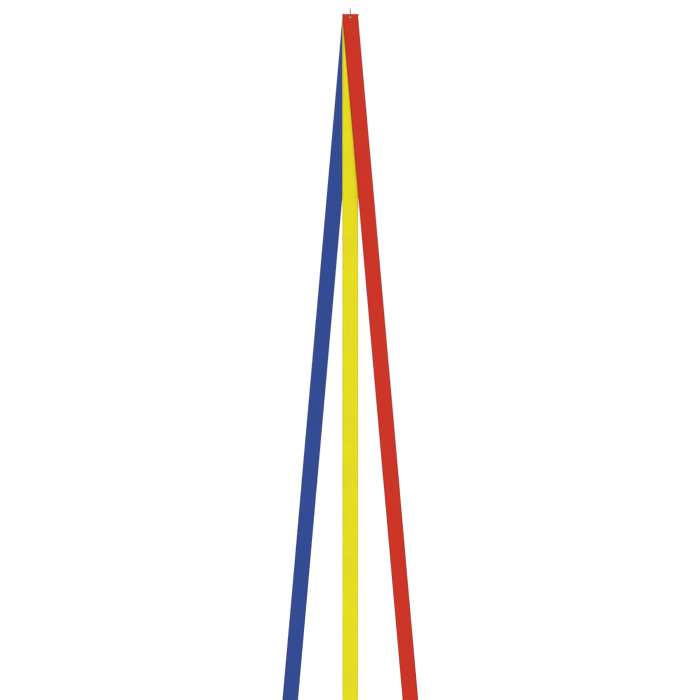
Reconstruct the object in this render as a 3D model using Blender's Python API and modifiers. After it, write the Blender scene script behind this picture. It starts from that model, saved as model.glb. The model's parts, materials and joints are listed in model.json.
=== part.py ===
"""A streamer windsock: three cloth ribbons on one brass eyelet, hung from a snap swivel.

Units are metres and +Z is up. The origin is the centre of the swivel's upper eye, from which
everything hangs. The ribbons lie in planes along X and Z: red in front (towards -Y), yellow in
the middle, blue behind. The red and blue ones are turned about the eyelet's axis, and all three
have their tops folded level with each other.
"""
import math

import bmesh
import bpy

# Ribbons
RIBBON_WIDTH = 0.050
RIBBON_LENGTH = 2.400          # from the top fold to the bottom fold
CLOTH = 0.00025                # one ply
HEADER_DEPTH = 0.030           # cloth folded back at the top, where the eyelet goes through
HEM_DEPTH = 0.015              # cloth folded back at the bottom
LAYER_GAP = 0.0005             # between one ribbon's doubled header and the next
FAN_ANGLE = math.radians(5.03)  # of the red and blue ribbons from the vertical
EYELET_FROM_TOP = 0.010        # eyelet's centre below the top fold

# Stitching
THREAD = 0.00025               # diameter
STITCH_GAP = 0.0001            # thread to cloth
STITCH_PITCH = 0.0022          # one full zigzag
STITCH_SWING = 0.0016          # height of the zigzag
STITCH_INSET = 0.0018          # stitch line to the folded edge, and its ends to the sides

# Eyelet and washer
HOLE_RADIUS = 0.0023           # clear hole through the eyelet
EYELET_WALL = 0.00035
EYELET_LIP = 0.0006            # radius of the turned lips, at mid wall
LIP_CURL = 120                 # degrees that the back lip is rolled over
FLANGE_RADIUS = 0.0048
WASHER_WALL = 0.0004
WASHER_RADIUS = 0.0051
SEAT_GAP = 0.00015             # between a metal face and the cloth or washer it presses on
HOLE_EASE = 0.0001             # extra radius of the hole in the cloth, for the turned lip

# Swivel
WIRE = 0.0009                  # diameter of the wire of the eyes and the snap
EYE_RADIUS = 0.00145           # middle of the wire
SHANK_RADIUS = 0.0006
HEAD_RADIUS = 0.0012
HEAD_HEIGHT = 0.0009
BARREL_RADIUS = 0.00195
BARREL_LENGTH = 0.0032
BARREL_WALL = 0.00035
BARREL_SHOULDER = 0.0008       # radius of the crimped ends
RUN_GAP = 0.00015              # shank in its hole, head off the barrel's end
EYE_GAP = 0.0003               # eye off the barrel's end

# Snap
LINK_GAP = 0.0002              # between the snap's loop and the eye's wire
LOOP_RADIUS = 0.00135          # of the top loop, at mid wire
PLATE_DROP = 0.00265           # plate's top below the loop's top
PLATE_HEIGHT = 0.0055
PLATE_WALL = 0.0005
NECK_HALF = 0.0026             # legs at the plate, from the middle
BEND_HALF = 0.0046             # legs at the bottom bend, from the middle
BEND_RADIUS = 0.0022           # of the bottom bend's two corners, at mid wire
SNAP_LENGTH = 0.0195           # from the loop's top to the bottom bend, at mid wire
ARM_GAP = 0.0004               # between the fixed leg's end and the arm
HANG_GAP = 0.0004              # wire below the top of the eyelet's hole

# Fineness
TURN_STEPS = 32                # sides of a turned piece
SHANK_STEPS = 24
RING_SIDES = 12                # sides of an eye's wire
WIRE_STEPS = 8                 # points along a quarter or an S bend
CORNER_STEPS = 6               # points along a small rounded corner
SAME_POINT = 0.00001           # points of a wire closer than this are one
WELD = 0.000001

# Heights that follow from these
EYE_REACH = EYE_RADIUS + WIRE / 2
BARREL_TOP = -EYE_REACH - EYE_GAP
BARREL_BOTTOM = BARREL_TOP - BARREL_LENGTH
LOWER_EYE_Z = BARREL_BOTTOM - EYE_GAP - EYE_REACH
LINK_Z = LOWER_EYE_Z - EYE_RADIUS
LOOP_TOP = LINK_Z + WIRE + LINK_GAP
LOOP_Z = LOOP_TOP - LOOP_RADIUS
PLATE_TOP = LOOP_TOP - PLATE_DROP
PLATE_BOTTOM = PLATE_TOP - PLATE_HEIGHT
BEND_Z = LOOP_TOP - SNAP_LENGTH
ARM_Z = BEND_Z + BEND_RADIUS
EYELET_Z = BEND_Z + WIRE / 2 + HANG_GAP - HOLE_RADIUS

# Depths along Y that follow
PLY_PAIR = 2 * CLOTH
LAYER_PITCH = PLY_PAIR + LAYER_GAP
STACK = 3 * PLY_PAIR + 2 * LAYER_GAP
BARREL_HOLE = SHANK_RADIUS + RUN_GAP
EYELET_OUTSIDE = HOLE_RADIUS + EYELET_WALL
CLOTH_HOLE = EYELET_OUTSIDE + SEAT_GAP + HOLE_EASE

RED = (0.597, 0.036, 0.020)
YELLOW = (0.776, 0.701, 0.015)
BLUE = (0.033, 0.070, 0.292)
BRASS = (0.62, 0.38, 0.17)
NICKEL = (0.42, 0.40, 0.38)
DARK_STEEL = (0.085, 0.060, 0.042)


def clear_scene():
    """Remove whatever objects the file holds."""
    for item in list(bpy.data.objects):
        bpy.data.objects.remove(item, do_unlink=True)


def new_collection(name):
    """A collection of the scene's own."""
    group = bpy.data.collections.new(name)
    bpy.context.scene.collection.children.link(group)
    return group


def new_material(name, colour, roughness, metallic):
    """A plain finish. The colour is linear."""
    finish = bpy.data.materials.new(name)
    finish.use_nodes = True
    shader = finish.node_tree.nodes["Principled BSDF"]
    shader.inputs["Base Color"].default_value = (*colour, 1.0)
    shader.inputs["Roughness"].default_value = roughness
    shader.inputs["Metallic"].default_value = metallic
    return finish


def new_empty(name, location, parent=None, turn=0.0):
    """A joint's frame: an empty at location, turned about Y."""
    empty = bpy.data.objects.new(name, None)
    empty.empty_display_size = 0.005
    parts.objects.link(empty)
    empty.parent = parent
    empty.location = location
    empty.rotation_euler = (0.0, turn, 0.0)
    return empty


def new_part(name, data, parent, location=(0, 0, 0), rotation=(0, 0, 0), finish=None):
    """Put a mesh or a curve in the scene as one named piece."""
    piece = bpy.data.objects.new(name, data)
    parts.objects.link(piece)
    piece.parent = parent
    piece.location = location
    piece.rotation_euler = rotation
    if finish:
        piece.data.materials.append(finish)
    return piece


def make_guide(piece):
    """Move a helper shape out of the model: it only cuts or joins."""
    parts.objects.unlink(piece)
    guides.objects.link(piece)
    piece.hide_render = True
    piece.display_type = "WIRE"


def add_boolean(piece, other, operation):
    """Cut other out of the piece, or join it to the piece."""
    step = piece.modifiers.new(operation.lower(), "BOOLEAN")
    step.operation = operation
    step.solver = "EXACT"
    step.object = other


def profile_mesh(name, points, closed):
    """A polyline in the XZ plane, for a Screw modifier."""
    mesh = bpy.data.meshes.new(name)
    count = len(points)
    edges = [(i, i + 1) for i in range(count - 1)]
    if closed:
        edges.append((count - 1, 0))
    mesh.from_pydata([(r, 0.0, z) for r, z in points], edges, [])
    return mesh


def add_screw(piece, steps=TURN_STEPS):
    """Turn the piece's profile about its own Z axis."""
    turn = piece.modifiers.new("turn", "SCREW")
    turn.axis = "Z"
    turn.steps = steps
    turn.render_steps = steps
    turn.use_merge_vertices = True
    turn.merge_threshold = WELD
    turn.use_smooth_shade = True


def arc(centre, radius, start, end, steps=WIRE_STEPS):
    """Points on an arc from start to end degrees, both ends included."""
    points = []
    for i in range(steps + 1):
        angle = math.radians(start + (end - start) * i / steps)
        points.append((centre[0] + radius * math.cos(angle), centre[1] + radius * math.sin(angle)))
    return points


def s_bend(first, last, steps=WIRE_STEPS):
    """Points from first to last, leaving and arriving along the second coordinate."""
    points = []
    for i in range(steps + 1):
        share = i / steps
        side = (1 - math.cos(math.pi * share)) / 2
        points.append((first[0] + (last[0] - first[0]) * side, first[1] + (last[1] - first[1]) * share))
    return points


def without_repeats(points):
    """The same points, less those that lie on the one before."""
    kept = [points[0]]
    for point in points[1:]:
        if math.dist(point, kept[-1]) > SAME_POINT:
            kept.append(point)
    return kept


def wire_curve(name, points, diameter):
    """A round wire through 3-D points."""
    curve = bpy.data.curves.new(name, "CURVE")
    curve.dimensions = "3D"
    curve.bevel_depth = diameter / 2
    curve.bevel_resolution = 2
    curve.use_fill_caps = True
    spline = curve.splines.new("POLY")
    spline.points.add(len(points) - 1)
    for slot, point in zip(spline.points, points):
        slot.co = (*point, 1.0)
    return curve


def outline_curve(name, points, depth):
    """A flat outline in its own XY plane, filled and made depth thick along Z."""
    curve = bpy.data.curves.new(name, "CURVE")
    curve.dimensions = "2D"
    curve.fill_mode = "BOTH"
    curve.extrude = depth / 2
    spline = curve.splines.new("POLY")
    spline.points.add(len(points) - 1)
    for slot, point in zip(spline.points, points):
        slot.co = (*point, 0.0, 1.0)
    spline.use_cyclic_u = True
    return curve


def curve_to_mesh(piece):
    """Replace a curve piece by the same shape as a welded mesh, so that it can be cut."""
    bpy.context.view_layer.update()
    evaluated = piece.evaluated_get(bpy.context.evaluated_depsgraph_get())
    mesh = bpy.data.meshes.new_from_object(evaluated)
    shape = bmesh.new()
    shape.from_mesh(mesh)
    bmesh.ops.remove_doubles(shape, verts=shape.verts, dist=WELD)
    shape.to_mesh(mesh)
    shape.free()
    name, parent, place = piece.name, piece.parent, piece.matrix_world.copy()
    bpy.data.objects.remove(piece, do_unlink=True)
    solid = bpy.data.objects.new(name, mesh)
    parts.objects.link(solid)
    solid.parent = parent
    solid.matrix_world = place
    return solid


def add_eye(name, parent, z, towards):
    """A wire ring in the XZ plane with a headed shank. towards is -1 for a shank that points down."""
    bpy.ops.mesh.primitive_torus_add(major_segments=TURN_STEPS, minor_segments=RING_SIDES,
                                     major_radius=EYE_RADIUS, minor_radius=WIRE / 2)
    made = bpy.context.object
    mesh = made.data
    bpy.data.objects.remove(made, do_unlink=True)
    mesh.shade_smooth()
    ring = new_part(name, mesh, parent, (0, 0, z), (math.radians(90), 0, 0), eye_finish)
    head_far = EYE_REACH + EYE_GAP + BARREL_WALL + RUN_GAP + HEAD_HEIGHT
    head_near = head_far - HEAD_HEIGHT
    profile = [(0.0, -EYE_RADIUS), (SHANK_RADIUS, -EYE_RADIUS), (SHANK_RADIUS, -head_near),
               (HEAD_RADIUS, -head_near), (HEAD_RADIUS, -head_far), (0.0, -head_far)]
    shank = new_part(name + "_shank", profile_mesh(name + "_shank", profile, False), parent, (0, 0, z))
    shank.rotation_euler = (0.0 if towards < 0 else math.pi, 0, 0)
    add_screw(shank, SHANK_STEPS)
    make_guide(shank)
    add_boolean(ring, shank, "UNION")
    return ring


def barrel_profile():
    """Half section of the hollow barrel: down its outer side, then up its bore."""
    top = BARREL_LENGTH / 2
    corner = BARREL_RADIUS - BARREL_SHOULDER
    bore = BARREL_RADIUS - BARREL_WALL
    inner = BARREL_SHOULDER - BARREL_WALL
    outside = [(BARREL_HOLE, top)]
    outside += arc((corner, top - BARREL_SHOULDER), BARREL_SHOULDER, 90, 0, CORNER_STEPS)
    outside += arc((corner, BARREL_SHOULDER - top), BARREL_SHOULDER, 0, -90, CORNER_STEPS)
    outside += [(BARREL_HOLE, -top), (BARREL_HOLE, BARREL_WALL - top)]
    inside = arc((corner, BARREL_SHOULDER - top), inner, -90, 0, CORNER_STEPS)
    inside += arc((bore - inner, top - BARREL_SHOULDER), inner, 0, 90, CORNER_STEPS)
    inside += [(BARREL_HOLE, top - BARREL_WALL)]
    return outside + inside


def add_barrel():
    """The swivel's hollow barrel, which both headed shanks turn in."""
    z = (BARREL_TOP + BARREL_BOTTOM) / 2
    barrel = new_part("swivel_barrel", profile_mesh("swivel_barrel", barrel_profile(), True),
                      swivel, (0, 0, z), finish=nickel)
    add_screw(barrel)


def snap_side_points():
    """Route of the snap's fixed wire in its own plane, as (y, z) from the link's axis."""
    end_z = PLATE_BOTTOM + WIRE / 2
    route = [(LOOP_RADIUS, end_z), (LOOP_RADIUS, (end_z + LOOP_Z) / 2)]
    route += arc((0.0, LOOP_Z), LOOP_RADIUS, 0, 180, 2 * WIRE_STEPS)
    route += s_bend((-LOOP_RADIUS, LOOP_Z), (-NECK_HALF, PLATE_TOP))
    route += s_bend((-NECK_HALF, PLATE_BOTTOM), (-BEND_HALF, ARM_Z), 2 * WIRE_STEPS)
    route += arc((BEND_RADIUS - BEND_HALF, ARM_Z), BEND_RADIUS, 180, 270)
    route += arc((BEND_HALF - BEND_RADIUS, ARM_Z), BEND_RADIUS, -90, 0)
    route[-1] = (BEND_HALF, ARM_Z - ARM_GAP / 2)
    return without_repeats(route)


def arm_side_points():
    """Route of the springing leg: from the bottom bend up into the plate."""
    route = [(BEND_HALF, ARM_Z + ARM_GAP / 2)]
    route += s_bend((BEND_HALF, ARM_Z + ARM_GAP), (NECK_HALF, PLATE_BOTTOM), 2 * WIRE_STEPS)
    route += [(NECK_HALF, PLATE_TOP - WIRE / 2)]
    return without_repeats(route)


def add_snap():
    """The snap hangs in the lower eye and opens at its arm."""
    fixed = [(0.0, y, z - LINK_Z) for y, z in snap_side_points()]
    new_part("snap_wire", wire_curve("snap_wire", fixed, WIRE), snap, finish=dark_steel)
    swung = [(0.0, y - BEND_HALF, z - ARM_Z) for y, z in arm_side_points()]
    new_part("snap_arm", wire_curve("snap_arm", swung, WIRE), gate, finish=dark_steel)


def add_lock_plate():
    """Sheet folded round the fixed leg and open towards the arm."""
    inner = WIRE / 2 + RUN_GAP
    outer = inner + PLATE_WALL
    mouth = NECK_HALF + inner
    outline = [(outer, mouth), (inner, mouth)]
    outline += arc((0.0, -NECK_HALF), inner, 0, -180, 2 * WIRE_STEPS)
    outline += [(-inner, mouth), (-outer, mouth)]
    outline += arc((0.0, -NECK_HALF), outer, -180, 0, 2 * WIRE_STEPS)
    middle = (PLATE_TOP + PLATE_BOTTOM) / 2 - LINK_Z
    new_part("snap_lock_plate", outline_curve("snap_lock_plate", outline, PLATE_HEIGHT),
             snap, (0, 0, middle), finish=dark_steel)


def eyelet_profile():
    """Middle of the eyelet's wall: front flange, barrel, then the lip rolled over the washer."""
    wall = HOLE_RADIUS + EYELET_WALL / 2
    lip = wall + EYELET_LIP
    front = STACK / 2 + SEAT_GAP + EYELET_WALL / 2
    washer_back = -(STACK / 2 + SEAT_GAP + WASHER_WALL)
    points = [(FLANGE_RADIUS, front)]
    points += arc((lip, front - EYELET_LIP), EYELET_LIP, 90, 180, CORNER_STEPS)
    points += arc((lip, washer_back - SEAT_GAP / 2), EYELET_LIP, 180, 180 + LIP_CURL, WIRE_STEPS)
    return points


def add_eyelet():
    """Eyelet with its axis along Y, its flange in front, and the washer behind the ribbons."""
    facing = (math.radians(90), 0, 0)
    drop = (0, 0, EYELET_Z - BEND_Z)
    eyelet = new_part("eyelet", profile_mesh("eyelet", eyelet_profile(), False), header, drop, facing, brass)
    add_screw(eyelet)
    wall = eyelet.modifiers.new("wall", "SOLIDIFY")
    wall.thickness = EYELET_WALL
    wall.offset = 0.0
    wall.use_even_offset = True
    near = -(STACK / 2 + SEAT_GAP)
    far = near - WASHER_WALL
    hole = EYELET_OUTSIDE + SEAT_GAP
    section = [(hole, near), (WASHER_RADIUS, near), (WASHER_RADIUS, far), (hole, far)]
    washer = new_part("eyelet_washer", profile_mesh("eyelet_washer", section, True),
                      header, drop, facing, brass)
    add_screw(washer)


def ribbon_outline():
    """Side view of a ribbon, front face at 0: one ply, doubled behind at both ends."""
    top = EYELET_FROM_TOP
    bottom = top - RIBBON_LENGTH
    return [(0.0, top), (0.0, bottom), (PLY_PAIR, bottom), (PLY_PAIR, bottom + HEM_DEPTH),
            (CLOTH, bottom + HEM_DEPTH), (CLOTH, top - HEADER_DEPTH),
            (PLY_PAIR, top - HEADER_DEPTH), (PLY_PAIR, top)]


def levelled(height, across, turn):
    """Height, in a frame turned about Y, of a point that lies level with height on the middle."""
    return height / math.cos(turn) + across * math.tan(turn)


def level_header(mesh, turn):
    """Slant the doubled top of a ribbon's mesh, so that it is level once the ribbon is turned.

    The mesh has its depth along X, its height along Y and its width along Z.
    """
    for corner in mesh.vertices:
        if corner.co.y > -RIBBON_LENGTH / 2:
            corner.co.y = levelled(corner.co.y, corner.co.z, turn)


def zigzag(z, turn):
    """Stitch points across the ribbon's width, just in front of its face."""
    half = RIBBON_WIDTH / 2 - STITCH_INSET
    count = 2 * int(half * 2 / STITCH_PITCH)
    depth = -(THREAD / 2 + STITCH_GAP)
    points = []
    for i in range(count + 1):
        across = half * (2 * i / count - 1)
        swing = STITCH_SWING / 2 * (1 if i % 2 else -1)
        points.append((across, depth, levelled(z, across, turn) + swing))
    return points


def add_ribbon(colour, layer, frame, cloth, thread):
    """One ribbon with its eyelet hole and the thread of its header and hem."""
    turn = frame.rotation_euler.y
    front = -STACK / 2 + layer * LAYER_PITCH
    strip = new_part("ribbon_" + colour, outline_curve("ribbon_" + colour, ribbon_outline(), RIBBON_WIDTH),
                     frame, (0, front, 0), (math.radians(90), 0, math.radians(90)))
    strip = curve_to_mesh(strip)
    level_header(strip.data, turn)
    strip.data.materials.append(cloth)
    bpy.ops.mesh.primitive_cylinder_add(vertices=TURN_STEPS, radius=CLOTH_HOLE, depth=4 * PLY_PAIR)
    punch = bpy.context.object
    punch.name = "punch_" + colour
    for group in list(punch.users_collection):
        group.objects.unlink(punch)
    parts.objects.link(punch)
    punch.parent = frame
    punch.location = (0, front + CLOTH, 0)
    punch.rotation_euler = (math.radians(90), 0, 0)
    make_guide(punch)
    add_boolean(strip, punch, "DIFFERENCE")
    rise = STITCH_INSET + STITCH_SWING / 2
    rows = (("header_stitch_", EYELET_FROM_TOP - HEADER_DEPTH + rise, turn),
            ("hem_stitch_", EYELET_FROM_TOP - RIBBON_LENGTH + HEM_DEPTH - rise, 0.0))
    for name, z, slant in rows:
        new_part(name + colour, wire_curve(name + colour, zigzag(z, slant), THREAD),
                 frame, (0, front, 0), finish=thread)


clear_scene()
parts = new_collection("streamer_windsock")
guides = new_collection("cutters")

eye_finish = new_material("nickel_plated_wire", NICKEL, 0.32, 1.0)
nickel = new_material("nickel_plated_brass", NICKEL, 0.28, 1.0)
dark_steel = new_material("blackened_spring_steel", DARK_STEEL, 0.38, 1.0)
brass = new_material("brass", BRASS, 0.30, 1.0)

swivel = new_empty("swivel_axis", (0, 0, 0))
snap = new_empty("snap_link_axis", (0, 0, LINK_Z))
gate = new_empty("snap_arm_axis", (0, BEND_HALF, ARM_Z - LINK_Z), snap)
header = new_empty("header_axis", (0, 0, BEND_Z - LINK_Z), snap)

add_eye("upper_eye", swivel, 0.0, -1)
add_barrel()
add_eye("lower_eye", swivel, LOWER_EYE_Z, 1)
add_snap()
add_lock_plate()
add_eyelet()

ribbons = (("red", RED, -FAN_ANGLE), ("yellow", YELLOW, 0.0), ("blue", BLUE, FAN_ANGLE))
for number, (shade, tint, fan) in enumerate(ribbons):
    turn_frame = new_empty(shade + "_fan_axis", (0, 0, EYELET_Z - BEND_Z), header, fan)
    woven = new_material(shade + "_nylon_cloth", tint, 0.55, 0.0)
    spun = new_material(shade + "_polyester_thread", tint, 0.60, 0.0)
    add_ribbon(shade, number, turn_frame, woven, spun)
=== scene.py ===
"""Looks of a streamer windsock: three nylon ribbons on a brass eyelet, hung from a snap swivel.

Lengths are metres in the frame's own axes: +Z is up and the front is towards -Y. Every new piece
is a surface worked out with numpy, and it lies where the frame's nodes and joints say.
"""
import json
import math

import bmesh
import bpy
import numpy as np
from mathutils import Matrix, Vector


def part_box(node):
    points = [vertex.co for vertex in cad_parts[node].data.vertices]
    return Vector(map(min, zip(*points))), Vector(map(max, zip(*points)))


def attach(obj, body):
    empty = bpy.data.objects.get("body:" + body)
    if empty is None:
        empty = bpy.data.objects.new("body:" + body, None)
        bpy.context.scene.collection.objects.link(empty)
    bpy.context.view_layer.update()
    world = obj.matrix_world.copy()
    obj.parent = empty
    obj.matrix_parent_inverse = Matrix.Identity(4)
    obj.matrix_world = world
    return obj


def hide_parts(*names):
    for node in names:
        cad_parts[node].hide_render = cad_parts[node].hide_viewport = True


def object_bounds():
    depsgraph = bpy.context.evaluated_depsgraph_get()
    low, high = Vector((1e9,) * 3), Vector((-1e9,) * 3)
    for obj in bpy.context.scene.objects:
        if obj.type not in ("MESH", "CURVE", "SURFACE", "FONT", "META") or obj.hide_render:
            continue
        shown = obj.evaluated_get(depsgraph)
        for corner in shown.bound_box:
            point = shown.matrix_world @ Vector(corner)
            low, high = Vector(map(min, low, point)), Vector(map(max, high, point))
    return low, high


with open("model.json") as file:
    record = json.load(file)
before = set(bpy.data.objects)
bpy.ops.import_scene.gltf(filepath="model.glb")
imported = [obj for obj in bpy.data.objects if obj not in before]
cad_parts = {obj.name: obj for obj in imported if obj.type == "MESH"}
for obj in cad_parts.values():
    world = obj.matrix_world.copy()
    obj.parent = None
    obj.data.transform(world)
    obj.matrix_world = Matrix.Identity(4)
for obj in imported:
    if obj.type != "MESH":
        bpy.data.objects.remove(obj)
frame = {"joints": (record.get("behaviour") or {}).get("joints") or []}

cad_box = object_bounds()


# ---- View, light and floor --------------------------------------------------------------------
# The windsock hangs before a white backdrop and is seen square on from the front. A white
# surround lights it evenly; its sides are dark, which draws an outline on bright metal.

MM = 0.001
LENS = 100.0
SENSOR = 36.0
VIEW_SPAN = 2.2015             # width taken in at the ribbons
VIEW_DROP = 1.0467             # the view's middle below the eyelet
VIEW_SIDE = -0.9 * MM          # and to the left of it
FLOOR_CLEARANCE = 60 * MM
FLOOR_RADIUS = 14.0
FLOOR_GRAIN = 25 * MM

eyelet_low, eyelet_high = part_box("eyelet")
EYELET_Z = (eyelet_low.z + eyelet_high.z) / 2


def linear(code):
    """The linear colour of an sRGB hex code, with an alpha of 1."""
    parts = np.array([int(code[i:i + 2], 16) for i in (0, 2, 4)]) / 255
    light = np.where(parts <= 0.04045, parts / 12.92, ((parts + 0.055) / 1.055) ** 2.4)
    return (*light.tolist(), 1.0)


def add_node(tree, kind, inputs=None, **settings):
    """Add a node; inputs are values or other nodes' outputs, by socket name or number."""
    node = tree.nodes.new("ShaderNode" + kind)
    for name, value in settings.items():
        setattr(node, name, value)
    for socket, value in (inputs or {}).items():
        if isinstance(value, bpy.types.NodeSocket):
            tree.links.new(value, node.inputs[socket])
        else:
            node.inputs[socket].default_value = value
    return node


def new_material(name):
    """A material with only a Principled shader: returns it, its tree and the shader."""
    finish = bpy.data.materials.new(name)
    finish.use_nodes = True
    tree = finish.node_tree
    tree.nodes.clear()
    shader = add_node(tree, "BsdfPrincipled")
    add_node(tree, "OutputMaterial", {"Surface": shader.outputs["BSDF"]})
    return finish, tree, shader


def grid_faces(rows, columns, round_rows=False, round_columns=False):
    """Quads between the points of a grid, numbered row by row. A round way joins end to start."""
    i, j = np.meshgrid(np.arange(rows - (not round_rows)), np.arange(columns - (not round_columns)),
                       indexing="ij")
    down = (i + 1) % rows
    right = (j + 1) % columns
    corners = [i * columns + j, down * columns + j, down * columns + right, i * columns + right]
    return np.stack(corners, axis=-1).reshape(-1, 4)


def fill_mesh(name, points, faces):
    """A smooth mesh from an array of points, on any grid, and an array of quads."""
    points = points.reshape(-1, 3)
    mesh = bpy.data.meshes.new(name)
    mesh.vertices.add(len(points))
    mesh.vertices.foreach_set("co", points.astype(np.float32).ravel())
    mesh.loops.add(faces.size)
    mesh.loops.foreach_set("vertex_index", faces.astype(np.int32).ravel())
    mesh.polygons.add(len(faces))
    mesh.polygons.foreach_set("loop_start", np.arange(0, faces.size, 4, dtype=np.int32))
    mesh.update(calc_edges=True)
    mesh.shade_smooth()
    return mesh


def add_object(name, mesh, finish):
    """Put a mesh in the scene, at the origin, with one material."""
    mesh.materials.append(finish)
    piece = bpy.data.objects.new(name, mesh)
    bpy.context.scene.collection.objects.link(piece)
    return piece


scene = bpy.context.scene
scene.view_settings.view_transform = "Standard"

lens = bpy.data.cameras.new("front_view")
lens.lens = LENS
lens.sensor_width = SENSOR
lens.clip_end = 100.0
camera = bpy.data.objects.new("front_view", lens)
camera.location = (VIEW_SIDE, -VIEW_SPAN * LENS / SENSOR, EYELET_Z - VIEW_DROP)
camera.rotation_euler = (math.radians(90), 0.0, 0.0)
scene.collection.objects.link(camera)
scene.camera = camera

# White straight on; for light and reflections, brighter above and dark to the left and right.
world = bpy.data.worlds.new("white_studio")
world.use_nodes = True
tree = world.node_tree
tree.nodes.clear()
way = add_node(tree, "SeparateXYZ", {"Vector": add_node(tree, "TexCoord").outputs["Generated"]})
sideways = add_node(tree, "Math", {0: way.outputs["X"]}, operation="ABSOLUTE")
dark_sides = add_node(tree, "MapRange", {
    "Value": sideways.outputs[0], "From Min": 0.72, "From Max": 0.95, "To Min": 1.0, "To Max": 0.12,
}, interpolation_type="SMOOTHSTEP")
bright_top = add_node(tree, "MapRange", {
    "Value": way.outputs["Z"], "From Min": 0.1, "From Max": 0.9, "To Min": 0.66, "To Max": 1.6,
}, interpolation_type="SMOOTHSTEP")
strength = add_node(tree, "Math", {0: dark_sides.outputs[0], 1: bright_top.outputs[0]},
                    operation="MULTIPLY")
studio = add_node(tree, "Background", {"Color": (1, 1, 1, 1), "Strength": strength.outputs[0]})
backdrop = add_node(tree, "Background", {"Color": (1, 1, 1, 1), "Strength": 1.05})
seen = add_node(tree, "MixShader", {
    0: add_node(tree, "LightPath").outputs["Is Camera Ray"],
    1: studio.outputs[0], 2: backdrop.outputs[0],
})
add_node(tree, "OutputWorld", {"Surface": seen.outputs[0]})
scene.world = world

# One broad lamp, high on the left, for a soft highlight on the metal and the cloth's waves.
lamp = bpy.data.lights.new("broad_lamp", "AREA")
lamp.shape = "DISK"
lamp.size = 1.6
lamp.energy = 30.0
lamp_stand = bpy.data.objects.new("broad_lamp", lamp)
lamp_stand.location = (-2.4, -3.2, 0.9)
lamp_stand.rotation_euler = (math.radians(70), 0.0, math.radians(-37))
scene.collection.objects.link(lamp_stand)

# A matt white floor, a round sheet of rings about the hanging line.
paint, tree, shader = new_material("matt_white_floor_paint")
grain = add_node(tree, "TexNoise", {
    "Vector": add_node(tree, "TexCoord").outputs["Object"], "Scale": 1 / FLOOR_GRAIN, "Detail": 3.0})
tone = add_node(tree, "ValToRGB", {"Fac": grain.outputs["Fac"]})
tone.color_ramp.elements[0].color = linear("F3F3F1")
tone.color_ramp.elements[1].color = linear("FBFBFA")
tree.links.new(tone.outputs["Color"], shader.inputs["Base Color"])
shader.inputs["Roughness"].default_value = 0.9
shader.inputs["Specular IOR Level"].default_value = 0.1
turns = np.linspace(0, 2 * np.pi, 96, endpoint=False)
reach, turn = np.meshgrid(np.linspace(0.02, FLOOR_RADIUS, 12), turns, indexing="ij")
floor_z = cad_box[0].z - FLOOR_CLEARANCE
rings = np.stack([reach * np.cos(turn), reach * np.sin(turn), np.full_like(turn, floor_z)], axis=-1)
floor = add_object("floor", fill_mesh("floor", rings, grid_faces(12, 96, round_columns=True)), paint)


# ---- Ribbons ----------------------------------------------------------------------------------
# Three strips of dyed nylon taffeta. Each is hot-cut, so its long edges are sealed in a harder,
# darker band, and has 30 mm folded back at the top and 15 mm at the bottom. All three tops are
# folded level, though the red and the blue strip are turned about the eyelet.

RIBBONS = {                    # turn about the eyelet, and how far it hangs from the middle one
    "red": (math.radians(-5.03), -1.0),
    "yellow": (0.0, 0.0),
    "blue": (math.radians(5.03), 1.0),
}
BODIES = {"red": "red_streamer", "yellow": "header", "blue": "blue_streamer"}
DYES = {"red": ("BF2E1F", "9C251A"), "yellow": ("D7CD18", "C6B915"), "blue": ("2C4489", "293B74")}

strip_low, strip_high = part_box("ribbon_yellow")
HALF = (strip_high.x - strip_low.x) / 2
TOP = strip_high.z - EYELET_Z
BOTTOM = strip_low.z - EYELET_Z
HEADER = 30 * MM
HEM = 15 * MM
PLY = 0.20 * MM
EDGE_PLY = 0.28 * MM           # the melted bead of a sealed edge
EDGE_WIDTH = 2.6 * MM
YARN_PITCH = 0.5 * MM
FOLD = 0.125 * MM              # radius of the folds, at the middle of the cloth
FIRST_PLY = 0.10 * MM          # middle of the front ply behind the ribbon's front face

CUT_RADIUS = 3.0 * MM          # hole for the eyelet
CUT_BLOCK = 3 * MM             # the square of the grid that is left out for it
CUT_REACH = 8 * MM             # as far as the grid bends round it
PUCKERS = 7                    # shallow folds that the eyelet's clamping draws in the cloth
PUCKER_HEIGHT = 0.09 * MM
PUCKER_RADIUS = 6.5 * MM       # where they are highest, and how far they fade away from there
PUCKER_FADE = 3.0 * MM

SPLAY = 0.8 * MM               # sides of the outer ribbons stand off the middle one at the top
LEAD = 5.2 * MM                # and lower down each outer ribbon drifts away by about this


def rise(low, high, x):
    """0 up to low, 1 from high on, and a smooth S between them."""
    share = np.clip((x - low) / (high - low), 0, 1)
    return share * share * (3 - 2 * share)


def folded_strip(t):
    """Depth and height of the cloth's middle at t along the strip.

    It runs up the back of the header, over a half circle, straight down the front, round a
    second half circle and up the back of the hem.
    """
    up = HEADER - FOLD
    over = up + np.pi * FOLD
    down = over + TOP - BOTTOM - 2 * FOLD
    under = down + np.pi * FOLD
    first = np.clip((t - up) / FOLD, 0, np.pi)
    second = np.clip((t - down) / FOLD, 0, np.pi)
    depth = FIRST_PLY + FOLD + FOLD * np.cos(first) + FOLD * (1 - np.cos(second))
    height = (TOP - FOLD - np.maximum(up - t, 0) + FOLD * np.sin(first)
              - np.clip(t - over, 0, down - over) - FOLD * np.sin(second) + np.maximum(t - under, 0))
    return depth, height


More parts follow.
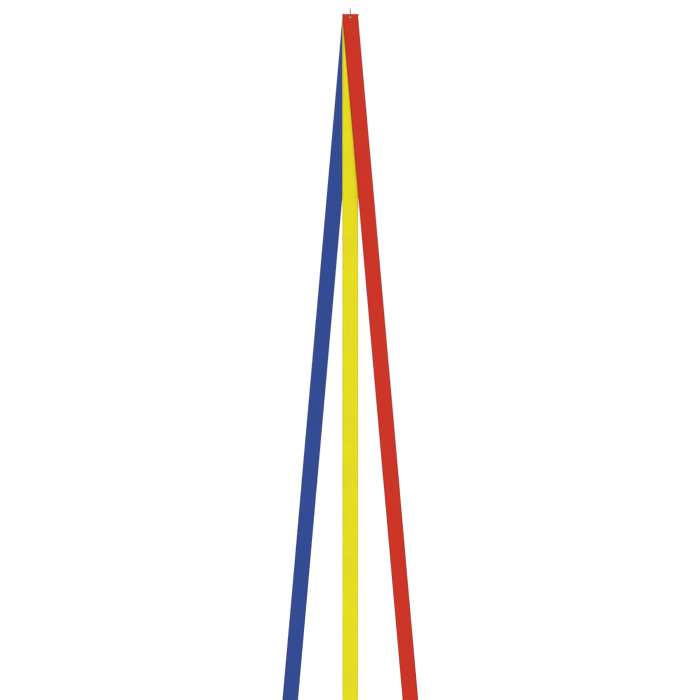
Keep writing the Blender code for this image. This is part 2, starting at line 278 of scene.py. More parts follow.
def sway(below, side, away):
    """Depth of a hanging ribbon, below under its eyelet and side across it.

    All three share two long sine waves. An outer ribbon also drifts away from the middle one, by
    a lead that always exceeds the waves and twists it adds, so the three never meet at any angle.
    """
    shared = rise(0.06, 0.40, below) * (3.0 * MM * np.sin(2 * np.pi * below / 0.83 + 0.4)
                                        + 1.2 * MM * np.sin(2 * np.pi * below / 0.37 + 1.9))
    slack = rise(0.15, 1.10, below)
    wave = np.sin(2 * np.pi * below / 0.61 + 1.3 * away)
    twist = side / HALF * np.sin(2 * np.pi * below / 1.27 + 0.6 + 2.1 * away)
    own = away * LEAD + (1.5 * MM * wave if away else 0) + (2.3 * MM if away else 1.0 * MM) * twist
    flutter = 0.18 * MM * np.exp((abs(side) - HALF) / (5 * MM)) * np.sin(2 * np.pi * below / 0.049)
    cupped = away * SPLAY * (side / HALF) ** 2
    return shared + slack * own + flutter * rise(0.03, 0.09, below) + cupped


def hang(side, depth, height, colour):
    """Put points of a folded strip where they hang; also returns their place on the flat cloth.

    The header is slanted so that it is level when the strip is turned. Grid squares round the
    eyelet become circles there. The strip keeps its length along its waves: what a slope takes,
    the sum of hypotenuse less drop, is given back in height.
    """
    turn, away = RIBBONS[colour]
    level = 1 - rise(0.026, 0.15, -height)
    flat = height + level * (height * (1 / math.cos(turn) - 1) + side * math.tan(turn))
    block = np.maximum(abs(side), abs(height))
    radius = np.maximum(np.hypot(side, flat), 0.1 * MM)
    pull = 1 - rise(CUT_BLOCK, CUT_REACH, block)
    stretch = 1 + pull * (block * CUT_RADIUS / CUT_BLOCK / radius - 1)
    side, flat = side * stretch, flat * stretch
    radius = np.hypot(side, flat)
    round_eyelet = np.exp(-((radius - PUCKER_RADIUS) / PUCKER_FADE) ** 2)
    pucker = PUCKER_HEIGHT * np.sin(PUCKERS * np.arctan2(side, flat)) * round_eyelet
    table = np.linspace(0, TOP - BOTTOM, 800)
    slope = np.gradient(sway(table, 0.0, away), table)
    spent = np.cumsum(np.sqrt(1 + slope ** 2) - 1) * table[1]
    low = flat + np.interp(-flat, table, spent)
    x = side * math.cos(turn) + low * math.sin(turn)
    z = -side * math.sin(turn) + low * math.cos(turn) + EYELET_Z
    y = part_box("ribbon_" + colour)[0].y + depth + pucker + sway(np.maximum(-flat, 0), side, away)
    return np.stack([x, y, z], axis=-1), side, flat


def steps(start, stop, spacing):
    """Values from start to stop, both included, about this far apart."""
    return np.linspace(start, stop, int(round(abs(stop - start) / spacing)) + 1)


def one_of_each(*runs):
    """The values of several runs in rising order, without repeats."""
    return np.unique(np.round(np.concatenate(runs), 7))


def map_faces(mesh, faces, u, v, name):
    """Give the mesh a map of its own from two values at each point."""
    layer = mesh.uv_layers.new(name=name)
    flat = np.stack([u.ravel(), v.ravel()], axis=-1)
    layer.uv.foreach_set("vector", flat[faces.ravel()].astype(np.float32).ravel())


def woven_nylon(name, dye, sealed):
    """Nylon taffeta: a plain weave with a low sheen, uneven from yarn to yarn, dark at its edges.

    The yarns of such cloth lie 0.12 mm apart. They are drawn 0.5 mm apart, or no bump would show.
    """
    finish, tree, shader = new_material(name)
    place = add_node(tree, "UVMap", uv_map="cloth").outputs["UV"]
    flat = add_node(tree, "SeparateXYZ", {"Vector": place})
    yarn = 2 * math.pi / YARN_PITCH
    ribs = []
    for way in ("X", "Y"):
        turns = add_node(tree, "Math", {0: flat.outputs[way], 1: yarn}, operation="MULTIPLY")
        ribs.append(add_node(tree, "Math", {0: turns.outputs[0]}, operation="SINE").outputs[0])
    weave = add_node(tree, "Math", {0: ribs[0], 1: ribs[1]}, operation="ADD")
    # Streaks along the warp, a few yarns wide and a hand long, and broad patches of fading.
    warp = add_node(tree, "Mapping", {"Vector": place, "Scale": (1 / (1.6 * MM), 1 / 0.12, 1.0)})
    streaks = add_node(tree, "TexNoise", {"Vector": warp.outputs[0], "Scale": 1.0, "Detail": 2.0})
    patches = add_node(tree, "TexNoise", {"Vector": place, "Scale": 1 / (90 * MM), "Detail": 2.0})
    shade = add_node(tree, "Math", {0: streaks.outputs["Fac"], 1: patches.outputs["Fac"]},
                     operation="ADD")
    value = add_node(tree, "MapRange", {
        "Value": shade.outputs[0], "From Min": 0.6, "From Max": 1.4, "To Min": 0.955, "To Max": 1.045})
    from_middle = add_node(tree, "Math", {0: flat.outputs["X"]}, operation="ABSOLUTE")
    edge = add_node(tree, "MapRange", {
        "Value": from_middle.outputs[0],
        "From Min": HALF - 1.4 * EDGE_WIDTH, "From Max": HALF - EDGE_WIDTH,
    }, interpolation_type="SMOOTHSTEP")
    colour = add_node(tree, "Mix", {0: edge.outputs[0], 6: linear(dye), 7: linear(sealed)},
                      data_type="RGBA")
    toned = add_node(tree, "HueSaturation", {"Color": colour.outputs[2], "Value": value.outputs[0]})
    tree.links.new(toned.outputs[0], shader.inputs["Base Color"])
    gloss = add_node(tree, "MapRange", {
        "Value": streaks.outputs["Fac"],
        "From Min": 0.3, "From Max": 0.7, "To Min": 0.50, "To Max": 0.60})
    tree.links.new(gloss.outputs[0], shader.inputs["Roughness"])
    bump = add_node(tree, "Bump", {
        "Strength": 0.22, "Distance": 0.06 * MM, "Height": weave.outputs[0]})
    tree.links.new(bump.outputs[0], shader.inputs["Normal"])
    shader.inputs["Specular IOR Level"].default_value = 0.06
    shader.inputs["Sheen Weight"].default_value = 0.02
    shader.inputs["Sheen Roughness"].default_value = 0.4
    return finish


def add_ribbon(colour):
    """The sheet of one ribbon: a grid of columns across the cloth and rows along it."""
    inner = steps(-23 * MM, 23 * MM, 1 * MM)
    outer = np.array([24.0, 24.6, 25.0]) / 25 * HALF
    columns = one_of_each(-outer, inner, outer)
    over = HEADER - FOLD + np.pi * FOLD
    down = over + TOP - BOTTOM - 2 * FOLD
    back = one_of_each(steps(TOP - HEADER, -CUT_BLOCK, MM), steps(-CUT_BLOCK, CUT_BLOCK, MM),
                       steps(CUT_BLOCK, TOP - FOLD, MM))
    front = one_of_each(steps(TOP - FOLD, CUT_BLOCK, MM), steps(CUT_BLOCK, -CUT_BLOCK, MM),
                        steps(-CUT_BLOCK, -34 * MM, MM), steps(-34 * MM, BOTTOM + 22 * MM, 6 * MM),
                        steps(BOTTOM + 22 * MM, BOTTOM + FOLD, MM))
    rows = one_of_each(back - TOP + HEADER, steps(HEADER - FOLD, over, FOLD / 2),
                       over + TOP - FOLD - front, steps(down, down + np.pi * FOLD, FOLD / 2),
                       down + np.pi * FOLD + steps(0, HEM - FOLD, MM))
    t, side = np.meshgrid(rows, columns, indexing="ij")
    depth, height = folded_strip(t)
    points, cloth_side, cloth_height = hang(side, depth, height, colour)
    faces = grid_faces(*t.shape)
    middle = np.maximum(abs(side.ravel()[faces].mean(1)), abs(height.ravel()[faces].mean(1)))
    kept, faces = np.unique(faces[middle > CUT_BLOCK], return_inverse=True)
    faces = faces.reshape(-1, 4)
    mesh = fill_mesh("ribbon_cloth_" + colour, points.reshape(-1, 3)[kept], faces)
    # The cloth's own map, in metres: across, and along from the header's edge to the hem's.
    along = np.where(t < HEADER, HEADER - TOP + cloth_height, HEADER + TOP - cloth_height)
    along = np.where(t > down, HEADER + TOP - 2 * BOTTOM + cloth_height, along)
    map_faces(mesh, faces, cloth_side.ravel()[kept], along.ravel()[kept], "cloth")
    finish = woven_nylon(colour + "_nylon_taffeta", *DYES[colour])
    ribbon = add_object("ribbon_cloth_" + colour, mesh, finish)
    edge = ribbon.vertex_groups.new(name="sealed_edge")
    edge.add(np.flatnonzero(abs(side.ravel()[kept]) > HALF - 0.5 * MM).tolist(), 1.0, "REPLACE")
    wall = ribbon.modifiers.new("ply", "SOLIDIFY")
    wall.thickness = EDGE_PLY
    wall.vertex_group = edge.name
    wall.thickness_vertex_group = PLY / EDGE_PLY
    wall.offset = 0.0
    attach(ribbon, BODIES[colour])
    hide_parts("ribbon_" + colour)
    return ribbon


cloths = {colour: add_ribbon(colour) for colour in RIBBONS}


# ---- Stitching --------------------------------------------------------------------------------
# Each folded end is closed by one row of zigzag lockstitch in spun polyester, dyed like the cloth.
# The needle thread lies on the front and the bobbin thread on the back, and both dip into the
# cloth at every needle hole.

THREAD = 0.25 * MM
PITCH = 2.2 * MM               # one full zigzag
SWING = 1.6 * MM
INSET = 1.8 * MM               # from the folded cloth's cut edge, and from the sides
NEEDLE_DIP = 0.10 * MM         # middle of the thread below the surface at a needle hole
PLY_TWIST = 0.9 * MM           # length of thread in one turn of its two plies
THREAD_SIDES = 10
STITCH_POINTS = 10             # along each slanted stitch
CLOTH_BACK = FIRST_PLY + 2 * FOLD + PLY / 2


def unit(vectors):
    """Each vector divided by its length."""
    return vectors / np.linalg.norm(vectors, axis=-1, keepdims=True)


def round_ended(path, radius, count=5):
    """A path and its radii with a half ball at each end, the poles included."""
    swell = np.linspace(0, np.pi / 2, count, endpoint=False)
    first, last = unit(path[0] - path[1]), unit(path[-1] - path[-2])
    start = path[0] + radius * np.cos(swell)[:, None] * first
    end = path[-1] + radius * np.cos(swell)[:, None] * last
    tip = radius * np.sin(swell)
    radii = np.concatenate([tip, np.full(len(path), radius), tip[::-1]])
    return np.concatenate([start, path, end[::-1]]), radii


def tube(path, radii, square, sides, closed=False):
    """A circle carried along a path.

    Each point is the path's, plus the radius times the cosine of its angle away from the square
    vector's side and the sine of it over it, both at right angles to the way ahead.
    """
    if closed:
        ahead = unit(np.roll(path, -1, axis=0) - np.roll(path, 1, axis=0))
    else:
        ahead = unit(np.gradient(path, axis=0))
    beside = unit(np.cross(ahead, np.array(square, dtype=float)))
    over = np.cross(beside, ahead)
    angle = 2 * np.pi * np.arange(sides) / sides
    ring = np.cos(angle)[:, None] * beside[:, None, :] + np.sin(angle)[:, None] * over[:, None, :]
    return path[:, None, :] + np.broadcast_to(radii, len(path))[:, None, None] * ring


def outward(points, faces):
    """The faces, turned round if the volume they enclose comes out negative."""
    a, b, c, d = (points.reshape(-1, 3)[faces[:, i]] for i in range(4))
    volume = (a * (np.cross(b, c) + np.cross(c, d))).sum()
    return faces if volume > 0 else faces[:, ::-1]


def close_poles(mesh):
    """Merge points that lie in one place, such as a pole's."""
    shape = bmesh.new()
    shape.from_mesh(mesh)
    bmesh.ops.remove_doubles(shape, verts=shape.verts, dist=0.001 * MM)
    shape.to_mesh(mesh)
    shape.free()
    mesh.shade_smooth()


def spun_thread(name, dye):
    """Two-ply spun polyester: matt, with the slanting grooves where its plies lie together, painted shade
    in the grooves and a painted highlight on the crowns.
    """
    finish, tree, shader = new_material(name)
    own_map = add_node(tree, "UVMap", uv_map="thread")
    place = add_node(tree, "SeparateXYZ", {"Vector": own_map.outputs["UV"]})
    turns = add_node(tree, "Math", {0: place.outputs["Y"], 1: 1 / PLY_TWIST}, operation="MULTIPLY")
    slant = add_node(tree, "Math", {0: turns.outputs[0], 1: place.outputs["X"]}, operation="ADD")
    angle = add_node(tree, "Math", {0: slant.outputs[0], 1: 2 * math.pi}, operation="MULTIPLY")
    grooves = add_node(tree, "Math", {0: angle.outputs[0]}, operation="SINE")
    # Painted shade and highlight: the colour is darker down the grooves and lighter on the plies' crowns,
    # following the same waves as the bump.
    tone = add_node(tree, "MapRange", {
        "Value": grooves.outputs[0], "From Min": -1.0, "From Max": 1.0, "To Min": 0.82, "To Max": 1.08})
    colour = add_node(tree, "HueSaturation", {"Color": linear(dye), "Value": tone.outputs[0]})
    tree.links.new(colour.outputs[0], shader.inputs["Base Color"])
    bump = add_node(tree, "Bump", {"Strength": 0.6, "Distance": 0.05 * MM, "Height": grooves.outputs[0]})
    tree.links.new(bump.outputs[0], shader.inputs["Normal"])
    shader.inputs["Roughness"].default_value = 0.7
    shader.inputs["Specular IOR Level"].default_value = 0.15
    return finish


def stitch_line(colour, height, surface, outwards):
    """One thread of a zigzag row.

    Across the cloth it runs evenly. Its height swings up and down in a triangle wave, and it
    stands off the surface by the root of the sine of its way from one needle hole to the next.
    """
    reach = HALF - INSET
    count = 2 * int(2 * reach / PITCH)
    way = np.linspace(0, count, count * STITCH_POINTS + 1)
    side = reach * (2 * way / count - 1)
    swing = SWING * (abs((way % 2) - 1) - 0.5)
    stand = np.sqrt(abs(np.sin(np.pi * way)))
    depth = surface + outwards * (0.85 * THREAD / 2 * stand - NEEDLE_DIP * (1 - stand))
    return hang(side, depth, height + swing, colour)[0]


def add_stitches(name, colour, height, finish):
    """The needle thread and the bobbin thread of one row, as one piece."""
    points, around, along, faces, first = [], [], [], [], 0
    for surface, outwards in ((0.0, -1), (CLOTH_BACK, 1)):
        path, radii = round_ended(stitch_line(colour, height, surface, outwards), THREAD / 2)
        skin = tube(path, radii, (0, 1, 0), THREAD_SIDES)
        quads = outward(skin, grid_faces(len(path), THREAD_SIDES, round_columns=True))
        length = np.cumsum(np.linalg.norm(np.diff(path, axis=0, prepend=path[:1]), axis=1))
        u, v = np.meshgrid(length, 2 * np.arange(THREAD_SIDES) / THREAD_SIDES, indexing="ij")
        points.append(skin.reshape(-1, 3))
        around.append(v.ravel())
        along.append(u.ravel())
        faces.append(quads + first)
        first += len(points[-1])
    points, faces = np.concatenate(points), np.concatenate(faces)
    mesh = fill_mesh(name, points, faces)
    map_faces(mesh, faces, np.concatenate(around), np.concatenate(along), "thread")
    close_poles(mesh)
    piece = add_object(name, mesh, finish)
    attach(piece, BODIES[colour])
    return piece


rise_of_row = INSET + SWING / 2
for colour, cloth in cloths.items():
    thread = spun_thread(colour + "_spun_polyester", DYES[colour][0])
    header_row = add_stitches("header_thread_" + colour, colour, TOP - HEADER + rise_of_row, thread)
    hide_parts("header_stitch_" + colour)
    hem_row = add_stitches("hem_thread_" + colour, colour, BOTTOM + HEM - rise_of_row, thread)
    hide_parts("hem_stitch_" + colour)


# ---- Eyelet and washer ------------------------------------------------------------------------
# A two-part eyelet stamped from thin brass. Its flange lies on the front ribbon, its tube passes
# through all three, and its end is rolled over a brass washer behind them.

EYELET_WALL = 0.35 * MM
EYELET_HOLE = 1.8 * MM         # the snap's wire bears on its top
FLANGE_CROWN = 0.22 * MM       # the flange stands up in a low curve
LIP = 0.6 * MM                 # radius of the turned lips, at mid wall
WASHER_WALL = 0.4 * MM
WASHER_CUP = 0.12 * MM
TURN_SIDES = 96

washer_low, washer_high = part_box("eyelet_washer")


def arc(centre, radius, start, end, count=12):
    """Points on an arc from start to end degrees, both ends included."""
    angle = np.radians(np.linspace(start, end, count))
    return np.stack([centre[0] + radius * np.cos(angle), centre[1] + radius * np.sin(angle)], axis=-1)


def walled(line, wall):
    """A closed outline half the wall's thickness off an open line, with a half circle at each end."""
    ahead = unit(np.gradient(line, axis=0))
    left = np.stack([-ahead[:, 1], ahead[:, 0]], axis=-1)
    turn = np.linspace(0, np.pi, 9)[1:-1, None]
    end = line[-1] + wall / 2 * (np.cos(turn) * left[-1] + np.sin(turn) * ahead[-1])
    start = line[0] - wall / 2 * (np.cos(turn) * left[0] + np.sin(turn) * ahead[0])
    return np.concatenate([line + wall / 2 * left, end, (line - wall / 2 * left)[::-1], start])


def turned(name, outline, axis, centre, closed=True):
    """A mesh turned from an outline of radius and height: the outline carried round the axis."""
    angle = 2 * np.pi * np.arange(TURN_SIDES) / TURN_SIDES
    radius, height = outline[:, :1], outline[:, 1:]
    around = [radius * np.cos(angle), radius * np.sin(angle)]
    around.insert("XYZ".index(axis), np.broadcast_to(height, around[0].shape))
    points = np.stack(around, axis=-1) + np.array(centre)
    faces = outward(points, grid_faces(len(outline), TURN_SIDES, closed, True))
    mesh = fill_mesh(name, points, faces)
    close_poles(mesh)
    return mesh


def plain_brass(name, axis):
    """Stamped brass, browned with age: rings from the punch, and darker tarnish in patches."""
    finish, tree, shader = new_material(name)
    place = add_node(tree, "TexCoord").outputs["Object"]
    stretch = [1.0, 1.0, 1.0]
    stretch["XYZ".index(axis)] = 9.0
    fine = add_node(tree, "Mapping", {"Vector": place, "Scale": stretch})
    marks = add_node(tree, "TexNoise", {"Vector": fine.outputs[0], "Scale": 1 / (0.5 * MM), "Detail": 3.0})
    stain = add_node(tree, "TexNoise", {"Vector": place, "Scale": 1 / (2.5 * MM), "Detail": 4.0,
                                        "Roughness": 0.6})
    tarnish = add_node(tree, "MapRange", {
        "Value": stain.outputs["Fac"], "From Min": 0.44, "From Max": 0.66,
    }, interpolation_type="SMOOTHSTEP")
    colour = add_node(tree, "Mix", {0: tarnish.outputs[0], 6: linear("A8733F"), 7: linear("553618")},
                      data_type="RGBA")
    tree.links.new(colour.outputs[2], shader.inputs["Base Color"])
    rough = add_node(tree, "MapRange", {
        "Value": stain.outputs["Fac"], "From Min": 0.3, "From Max": 0.7, "To Min": 0.20, "To Max": 0.42})
    tree.links.new(rough.outputs[0], shader.inputs["Roughness"])
    bump = add_node(tree, "Bump", {
        "Strength": 0.15, "Distance": 0.02 * MM, "Height": marks.outputs["Fac"]})
    tree.links.new(bump.outputs[0], shader.inputs["Normal"])
    shader.inputs["Metallic"].default_value = 1.0
    return finish


brass = plain_brass("stamped_brass", "Y")

# The flange's rim comes down to the cloth, its crown stands proud, and its inner side turns
# into the tube. Heights here are depths along Y.
tube_radius = EYELET_HOLE + EYELET_WALL / 2
flange_y = eyelet_low.y + EYELET_WALL / 2
flange_rim = eyelet_high.x - EYELET_WALL / 2
out = np.linspace(flange_rim, tube_radius + LIP, 14, endpoint=False)
crown = FLANGE_CROWN * np.sin(np.pi * (out - tube_radius) / (flange_rim - tube_radius)) ** 0.8
flange = np.stack([out, flange_y - crown], axis=-1)
inner_crown = flange_y - FLANGE_CROWN * math.sin(math.pi * LIP / (flange_rim - tube_radius)) ** 0.8
flange_turn = arc((tube_radius + LIP, inner_crown + LIP), LIP, -90, -180, 10)
back_y = washer_high.y + 0.075 * MM
rolled = arc((tube_radius + LIP, back_y), LIP, 180, 60, 14)
eyelet_line = np.concatenate([flange, flange_turn, rolled])
eyelet = add_object("eyelet_shell", turned("eyelet_shell", walled(eyelet_line, EYELET_WALL), "Y",
                                           (0, 0, EYELET_Z)), brass)
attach(eyelet, "header")
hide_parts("eyelet")

# The washer is cupped a little, its rim towards the cloth.
washer_rim = washer_high.x - WASHER_WALL / 2
washer_hole = EYELET_HOLE + EYELET_WALL + 0.15 * MM + WASHER_WALL / 2
across = np.linspace(washer_hole, washer_rim, 12)
cup = WASHER_CUP * ((across - washer_hole) / (washer_rim - washer_hole)) ** 2
washer_line = np.stack([across, (washer_low.y + washer_high.y) / 2 - cup], axis=-1)
washer = add_object("washer_ring", turned("washer_ring", walled(washer_line, WASHER_WALL), "Y",
                                          (0, 0, EYELET_Z)), brass)
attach(washer, "header")
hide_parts("eyelet_washer")


# ---- Swivel barrel ----------------------------------------------------------------------------
# A short brass tube, nickel plated. Its two ends are spun in over the heads of the eyes' shanks,
# and a groove is rolled round its middle, between the heads.

BARREL_WALL = 0.35 * MM
SHOULDER = 0.8 * MM
BARREL_HOLE = 0.75 * MM
GROOVE_DEPTH = 0.22 * MM
GROOVE_HALF = 0.34 * MM

barrel_low, barrel_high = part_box("swivel_barrel")


def nickel_plate(name, ring_stretch):
    """Nickel plate: a grey metal, dulled by handling in places, with fine rings if it was turned."""
    finish, tree, shader = new_material(name)
    place = add_node(tree, "TexCoord").outputs["Object"]
    fine = add_node(tree, "Mapping", {"Vector": place, "Scale": (1.0, 1.0, ring_stretch)})
    rings = add_node(tree, "TexNoise", {"Vector": fine.outputs[0], "Scale": 1 / (1.2 * MM), "Detail": 3.0})
    dull = add_node(tree, "TexNoise", {"Vector": place, "Scale": 1 / (1.4 * MM), "Detail": 3.0})
    tint = add_node(tree, "Mix", {0: dull.outputs["Fac"], 6: linear("A09C99"), 7: linear("7C7774")},
                    data_type="RGBA")
    tree.links.new(tint.outputs[2], shader.inputs["Base Color"])
    rough = add_node(tree, "MapRange", {
        "Value": dull.outputs["Fac"], "From Min": 0.3, "From Max": 0.7, "To Min": 0.18, "To Max": 0.36})
    tree.links.new(rough.outputs[0], shader.inputs["Roughness"])
    bump = add_node(tree, "Bump", {
        "Strength": 0.2, "Distance": 0.02 * MM, "Height": rings.outputs["Fac"]})
    tree.links.new(bump.outputs[0], shader.inputs["Normal"])
    shader.inputs["Metallic"].default_value = 1.0
    return finish


barrel_radius = barrel_high.x
half_length = (barrel_high.z - barrel_low.z) / 2
corner = barrel_radius - SHOULDER
bend = SHOULDER - BARREL_WALL / 2
end_height = half_length - SHOULDER
spun_end = np.linspace(BARREL_HOLE + BARREL_WALL / 2, corner, 4, endpoint=False)
top_end = np.stack([spun_end, np.full(4, half_length - BARREL_WALL / 2)], axis=-1)
side_height = np.linspace(end_height, -end_height, 60)[1:-1]
side_line = np.stack([np.full(58, barrel_radius - BARREL_WALL / 2), side_height], axis=-1)
bottom_end = top_end[::-1] * (1, -1)
barrel_line = np.concatenate([top_end, arc((corner, end_height), bend, 90, 0), side_line,
                              arc((corner, -end_height), bend, 0, -90), bottom_end])
groove = np.exp(-(barrel_line[:, 1] / GROOVE_HALF) ** 2)
barrel_line[:, 0] -= GROOVE_DEPTH * groove
barrel = add_object("barrel_shell", turned("barrel_shell", walled(barrel_line, BARREL_WALL), "Z",
                                           (0, 0, (barrel_low.z + barrel_high.z) / 2)),
                    nickel_plate("nickel_plated_brass", 14.0))
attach(barrel, "barrel")
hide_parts("swivel_barrel")


# ---- Eyes -------------------------------------------------------------------------------------
# Each eye is a ring of nickel-plated wire on a short shank. The shank has a collar under the ring
# and is upset into a head inside the barrel, so that the eye turns but can't pull out.

WIRE = 0.9 * MM
COLLAR_RADIUS = 0.74 * MM
SHANK_RADIUS = 0.6 * MM
HEAD_RADIUS = 1.2 * MM
HEAD_HEIGHT = 0.9 * MM
RING_STEPS = 96
WIRE_SIDES = 24


def rounded(corners, radius, count=6):
    """A line through corners, each but the ends cut by a smooth curve that starts radius away."""
    corners = np.array(corners, dtype=float)
    before = corners[1:-1] + radius * unit(corners[:-2] - corners[1:-1])
    after = corners[1:-1] + radius * unit(corners[2:] - corners[1:-1])
    s = np.linspace(0, 1, count)[None, :, None]
    curves = ((1 - s) ** 2 * before[:, None] + 2 * s * (1 - s) * corners[1:-1, None]
              + s ** 2 * after[:, None])
    return np.concatenate([corners[:1], curves.reshape(-1, 2), corners[-1:]])


def add_eye(name, node, far_end, body, finish):
    """One eye: its ring about Y and its shank along Z, joined into one skin."""
    low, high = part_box(node)
    ring_radius = high.x - WIRE / 2
    centre_z = high.z - high.x if far_end < 0 else low.z + high.x
    turn = 2 * np.pi * np.arange(RING_STEPS) / RING_STEPS
    path = np.stack([ring_radius * np.cos(turn), 0 * turn, centre_z + ring_radius * np.sin(turn)], axis=-1)
    skin = tube(path, WIRE / 2, (0, 1, 0), WIRE_SIDES, closed=True)
    ring_mesh = fill_mesh(name, skin, outward(skin, grid_faces(RING_STEPS, WIRE_SIDES, True, True)))
    ring = add_object(name, ring_mesh, finish)
    head_end = (high.z - low.z) - high.x
    head_start = head_end - HEAD_HEIGHT
    collar_end = high.x + 0.18 * MM
    outline = rounded([(0, ring_radius), (COLLAR_RADIUS, ring_radius), (COLLAR_RADIUS, collar_end),
                       (SHANK_RADIUS, collar_end), (SHANK_RADIUS, head_start), (HEAD_RADIUS, head_start),
                       (HEAD_RADIUS, head_end), (0, head_end)], 0.1 * MM)
    outline[:, 1] *= far_end
    outline = outline[np.concatenate([[True], np.linalg.norm(np.diff(outline, axis=0), axis=1) > 1e-7])]
    shank_mesh = turned(name + "_shank", outline, "Z", (0, 0, centre_z), False)
    shank = add_object(name + "_shank", shank_mesh, finish)
    union = ring.modifiers.new("one_skin", "BOOLEAN")
    union.operation = "UNION"
    union.object = shank
    bpy.context.view_layer.update()
    joined = bpy.data.meshes.new_from_object(ring.evaluated_get(bpy.context.evaluated_depsgraph_get()))
    ring.modifiers.remove(union)
    ring.data = joined
    joined.shade_smooth()
    joined.set_sharp_from_angle(angle=math.radians(50))
    bpy.data.objects.remove(shank, do_unlink=True)
    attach(ring, body)
    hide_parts(node)


plated_wire = nickel_plate("nickel_plated_wire", 1.0)
add_eye("upper_ring", "upper_eye", -1, "hanger", plated_wire)
add_eye("lower_ring", "lower_eye", 1, "swivel_foot", plated_wire)


# ---- Snap -------------------------------------------------------------------------------------
# One length of hard steel wire, blackened in oil: a loop through the lower eye, a fixed leg down
# to a square bend that carries the eyelet, and a springing arm back up into the lock plate.

SNAP_WIRE = 1.3 * MM
LOOP_RADIUS = 1.25 * MM        # at mid wire, like the sizes below
NECK = 2.7 * MM                # legs at the plate, from the middle
LEG = 4.6 * MM                 # legs at the bend
LINK_GAP = 0.1 * MM            # loop's underside over the lower eye's wire
BEARING_GAP = 0.05 * MM        # bottom bend's top under the eyelet's hole

eye_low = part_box("lower_eye")[0]
plate_low, plate_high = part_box("snap_lock_plate")
arm_hinge = next(joint["pos_m"] for joint in frame["joints"] if joint["name"] == "gate_open")


def s_bend(first, last, count=24):
    """Points from first to last that leave and arrive along the second coordinate."""
    share = np.linspace(0, 1, count)[:, None]
    side = (1 - np.cos(np.pi * share)) / 2
    first, last = np.array(first), np.array(last)
    return first + (last - first) * np.concatenate([side, share], axis=1)


def eased(first, start_way, last, end_way, count=24):
    """A cubic curve from first to last that leaves and arrives along two given vectors.

    It is the Hermite blend: each end and each vector times its own cubic of the share covered.
    """
    s = np.linspace(0, 1, count)[:, None]
    first, last, start_way, end_way = map(np.array, (first, last, start_way, end_way))
    return ((2 * s ** 3 - 3 * s ** 2 + 1) * first + (s ** 3 - 2 * s ** 2 + s) * start_way
            + (3 * s ** 2 - 2 * s ** 3) * last + (s ** 3 - s ** 2) * end_way)


def evenly(points, spacing):
    """The same line with its points the same distance apart."""
    length = np.concatenate([[0], np.cumsum(np.linalg.norm(np.diff(points, axis=0), axis=1))])
    keep = np.concatenate([[True], np.diff(length) > 1e-9])
    at = np.linspace(0, length[-1], int(length[-1] / spacing) + 1)
    return np.stack([np.interp(at, length[keep], points[keep, i]) for i in (0, 1)], axis=-1)


def blackened_steel(name):
    """Blackened spring steel: a thin brown-black oxide, rubbed to bare steel where pieces touch."""
    finish, tree, shader = new_material(name)
    place = add_node(tree, "TexCoord").outputs["Object"]
    patch = add_node(tree, "TexNoise", {"Vector": place, "Scale": 1 / (0.8 * MM), "Detail": 4.0})
    oxide = add_node(tree, "Mix", {0: patch.outputs["Fac"], 6: linear("30241C"), 7: linear("46362B")},
                     data_type="RGBA")
    rub = add_node(tree, "Attribute", attribute_name="rubbed")
    broken = add_node(tree, "Math", {0: rub.outputs["Fac"], 1: patch.outputs["Fac"]}, operation="MULTIPLY")
    bare = add_node(tree, "MapRange", {"Value": broken.outputs[0], "From Min": 0.30, "From Max": 0.55},
                    interpolation_type="SMOOTHSTEP")
    colour = add_node(tree, "Mix", {0: bare.outputs[0], 6: oxide.outputs[2], 7: linear("8D857D")},
                      data_type="RGBA")
    tree.links.new(colour.outputs[2], shader.inputs["Base Color"])
    rough = add_node(tree, "MapRange", {
        "Value": patch.outputs["Fac"], "From Min": 0.3, "From Max": 0.7, "To Min": 0.28, "To Max": 0.46})
    tree.links.new(rough.outputs[0], shader.inputs["Roughness"])
    bump = add_node(tree, "Bump", {"Strength": 0.2, "Distance": 0.02 * MM, "Height": patch.outputs["Fac"]})
    tree.links.new(bump.outputs[0], shader.inputs["Normal"])
    shader.inputs["Metallic"].default_value = 1.0
    return finish


def add_wire(name, node, route, contacts, body, finish):
    """Wire along a route of y and z points. Contacts are the places where its finish is rubbed."""
    line = evenly(route, 0.12 * MM)
    line = np.stack([0 * line[:, 0], line[:, 0], line[:, 1]], axis=-1)
    path, radii = round_ended(line, SNAP_WIRE / 2)
    skin = tube(path, radii, (1, 0, 0), WIRE_SIDES)
    mesh = fill_mesh(name, skin, outward(skin, grid_faces(len(path), WIRE_SIDES, round_columns=True)))
    apart = skin.reshape(-1, 1, 3)[:, :, 1:] - np.array(contacts)[None]
    near = np.exp(-(np.linalg.norm(apart, axis=-1).min(1) / (0.7 * MM)) ** 2)
    mesh.attributes.new("rubbed", "FLOAT", "POINT").data.foreach_set("value", near.astype(np.float32))
    close_poles(mesh)
    piece = add_object(name, mesh, finish)
    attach(piece, body)
    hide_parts(node)


steel = blackened_steel("blackened_spring_steel")
loop_top = eye_low.z + WIRE + LINK_GAP + SNAP_WIRE / 2
loop_z = loop_top - LOOP_RADIUS
bend_z = EYELET_Z + EYELET_HOLE - BEARING_GAP - SNAP_WIRE / 2
arm_z = arm_hinge[2]
bend_radius = arm_z - bend_z
loop = arc((0, loop_z), LOOP_RADIUS, 0, 135, 30)
leaving = 3 * MM * unit(loop[-1] - loop[-2])
fixed_leg = np.concatenate([
    [(LOOP_RADIUS, plate_low.z + SNAP_WIRE / 2)],
    loop,
    eased(loop[-1], leaving, (-NECK, plate_high.z - 0.3 * MM), (0.0, -2 * MM)),
    s_bend((-NECK, plate_low.z), (-LEG, arm_z), 40),
    arc((bend_radius - LEG, arm_z), bend_radius, 180, 270, 24),
    arc((LEG - bend_radius, arm_z), bend_radius, -90, 0, 24),
])
rubbed = [(0, loop_top - SNAP_WIRE / 2), (0, bend_z + SNAP_WIRE / 2)]
add_wire("snap_body", "snap_wire", fixed_leg, rubbed, "snap", steel)
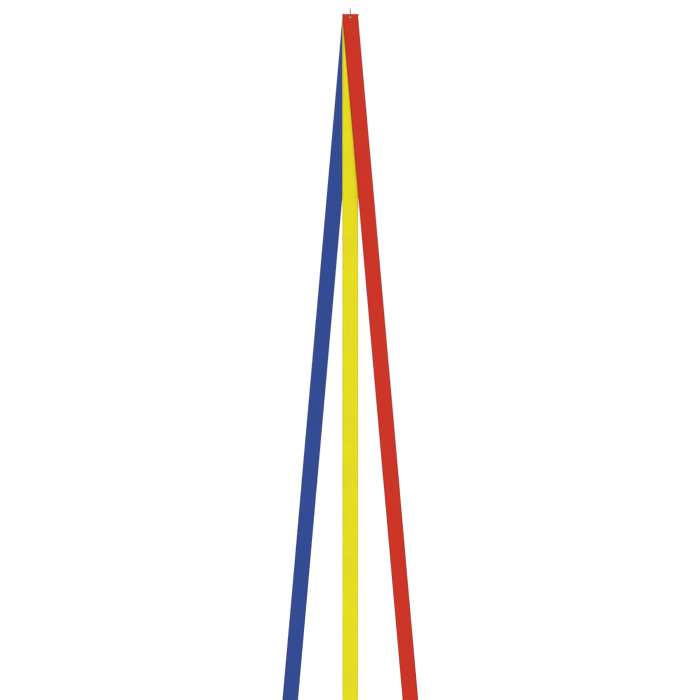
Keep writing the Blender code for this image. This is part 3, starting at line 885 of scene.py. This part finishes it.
arm_start = arm_z + 0.4 * MM
arm_route = np.concatenate([
    [(LEG, arm_z)],
    s_bend((LEG, arm_start), (NECK, plate_low.z), 40),
    [(NECK, plate_high.z - SNAP_WIRE / 2)],
])
add_wire("snap_spring_arm", "snap_arm", arm_route, [(NECK, plate_low.z)], "snap_gate", steel)


# ---- Lock plate -------------------------------------------------------------------------------
# A strip of the same steel, folded round the fixed leg and pinched on the loop's end. Its open
# side catches the arm; the mouth is flared and a rib is pressed in each cheek.

PLATE_WALL = 0.6 * MM
CHEEK = 1.1 * MM               # middle of the sheet from the plate's middle
MOUTH = 3.45 * MM
MOUTH_ROUND = 0.6 * MM
FLARE = 0.10 * MM
FLARE_START = 2.3 * MM         # along the sheet, with the mouth's end as its far end
RUB_START = 2.4 * MM
RIB = 0.10 * MM
RIB_BACK = (-2.0 * MM, -1.4 * MM)  # where the rib rises, and where it sinks again
RIB_FRONT = (0.6 * MM, 1.2 * MM)

straight = np.linspace(MOUTH, -NECK, 60, endpoint=False)
fold_turn = np.radians(np.linspace(0, -180, 31))
plan_x = np.concatenate([np.full(60, CHEEK), CHEEK * np.cos(fold_turn), np.full(60, -CHEEK)])
plan_y = np.concatenate([straight, -NECK + CHEEK * np.sin(fold_turn), straight[::-1]])
plan_x += np.sign(plan_x) * FLARE * rise(FLARE_START, MOUTH, plan_y)
row, column = np.meshgrid(np.linspace(-1, 1, 41), np.arange(len(plan_x)), indexing="ij")
x, y = plan_x[column], plan_y[column]
near_mouth = np.clip(y - (MOUTH - MOUTH_ROUND), 0, MOUTH_ROUND)
half_height = ((plate_high.z - plate_low.z) / 2 - MOUTH_ROUND
               + np.sqrt(np.maximum(MOUTH_ROUND ** 2 - near_mouth ** 2, 0)))
rib_band = rise(*RIB_BACK, y) * (1 - rise(*RIB_FRONT, y)) * np.exp(-(row / 0.28) ** 2)
x = x + np.sign(x) * RIB * rib_band
z = (plate_low.z + plate_high.z) / 2 + row * half_height
mesh = fill_mesh("lock_plate", np.stack([x, y, z], axis=-1), grid_faces(*row.shape))
mesh.attributes.new("rubbed", "FLOAT", "POINT").data.foreach_set(
    "value", (0.9 * rise(RUB_START, MOUTH, y)).astype(np.float32).ravel())
plate = add_object("lock_plate", mesh, steel)
sheet_wall = plate.modifiers.new("sheet", "SOLIDIFY")
sheet_wall.thickness = PLATE_WALL
sheet_wall.offset = 0.0
edges = plate.modifiers.new("edges", "BEVEL")
edges.width = 0.05 * MM
edges.segments = 2
edges.limit_method = "ANGLE"
edges.angle_limit = math.radians(50)
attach(plate, "snap")
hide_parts("snap_lock_plate")
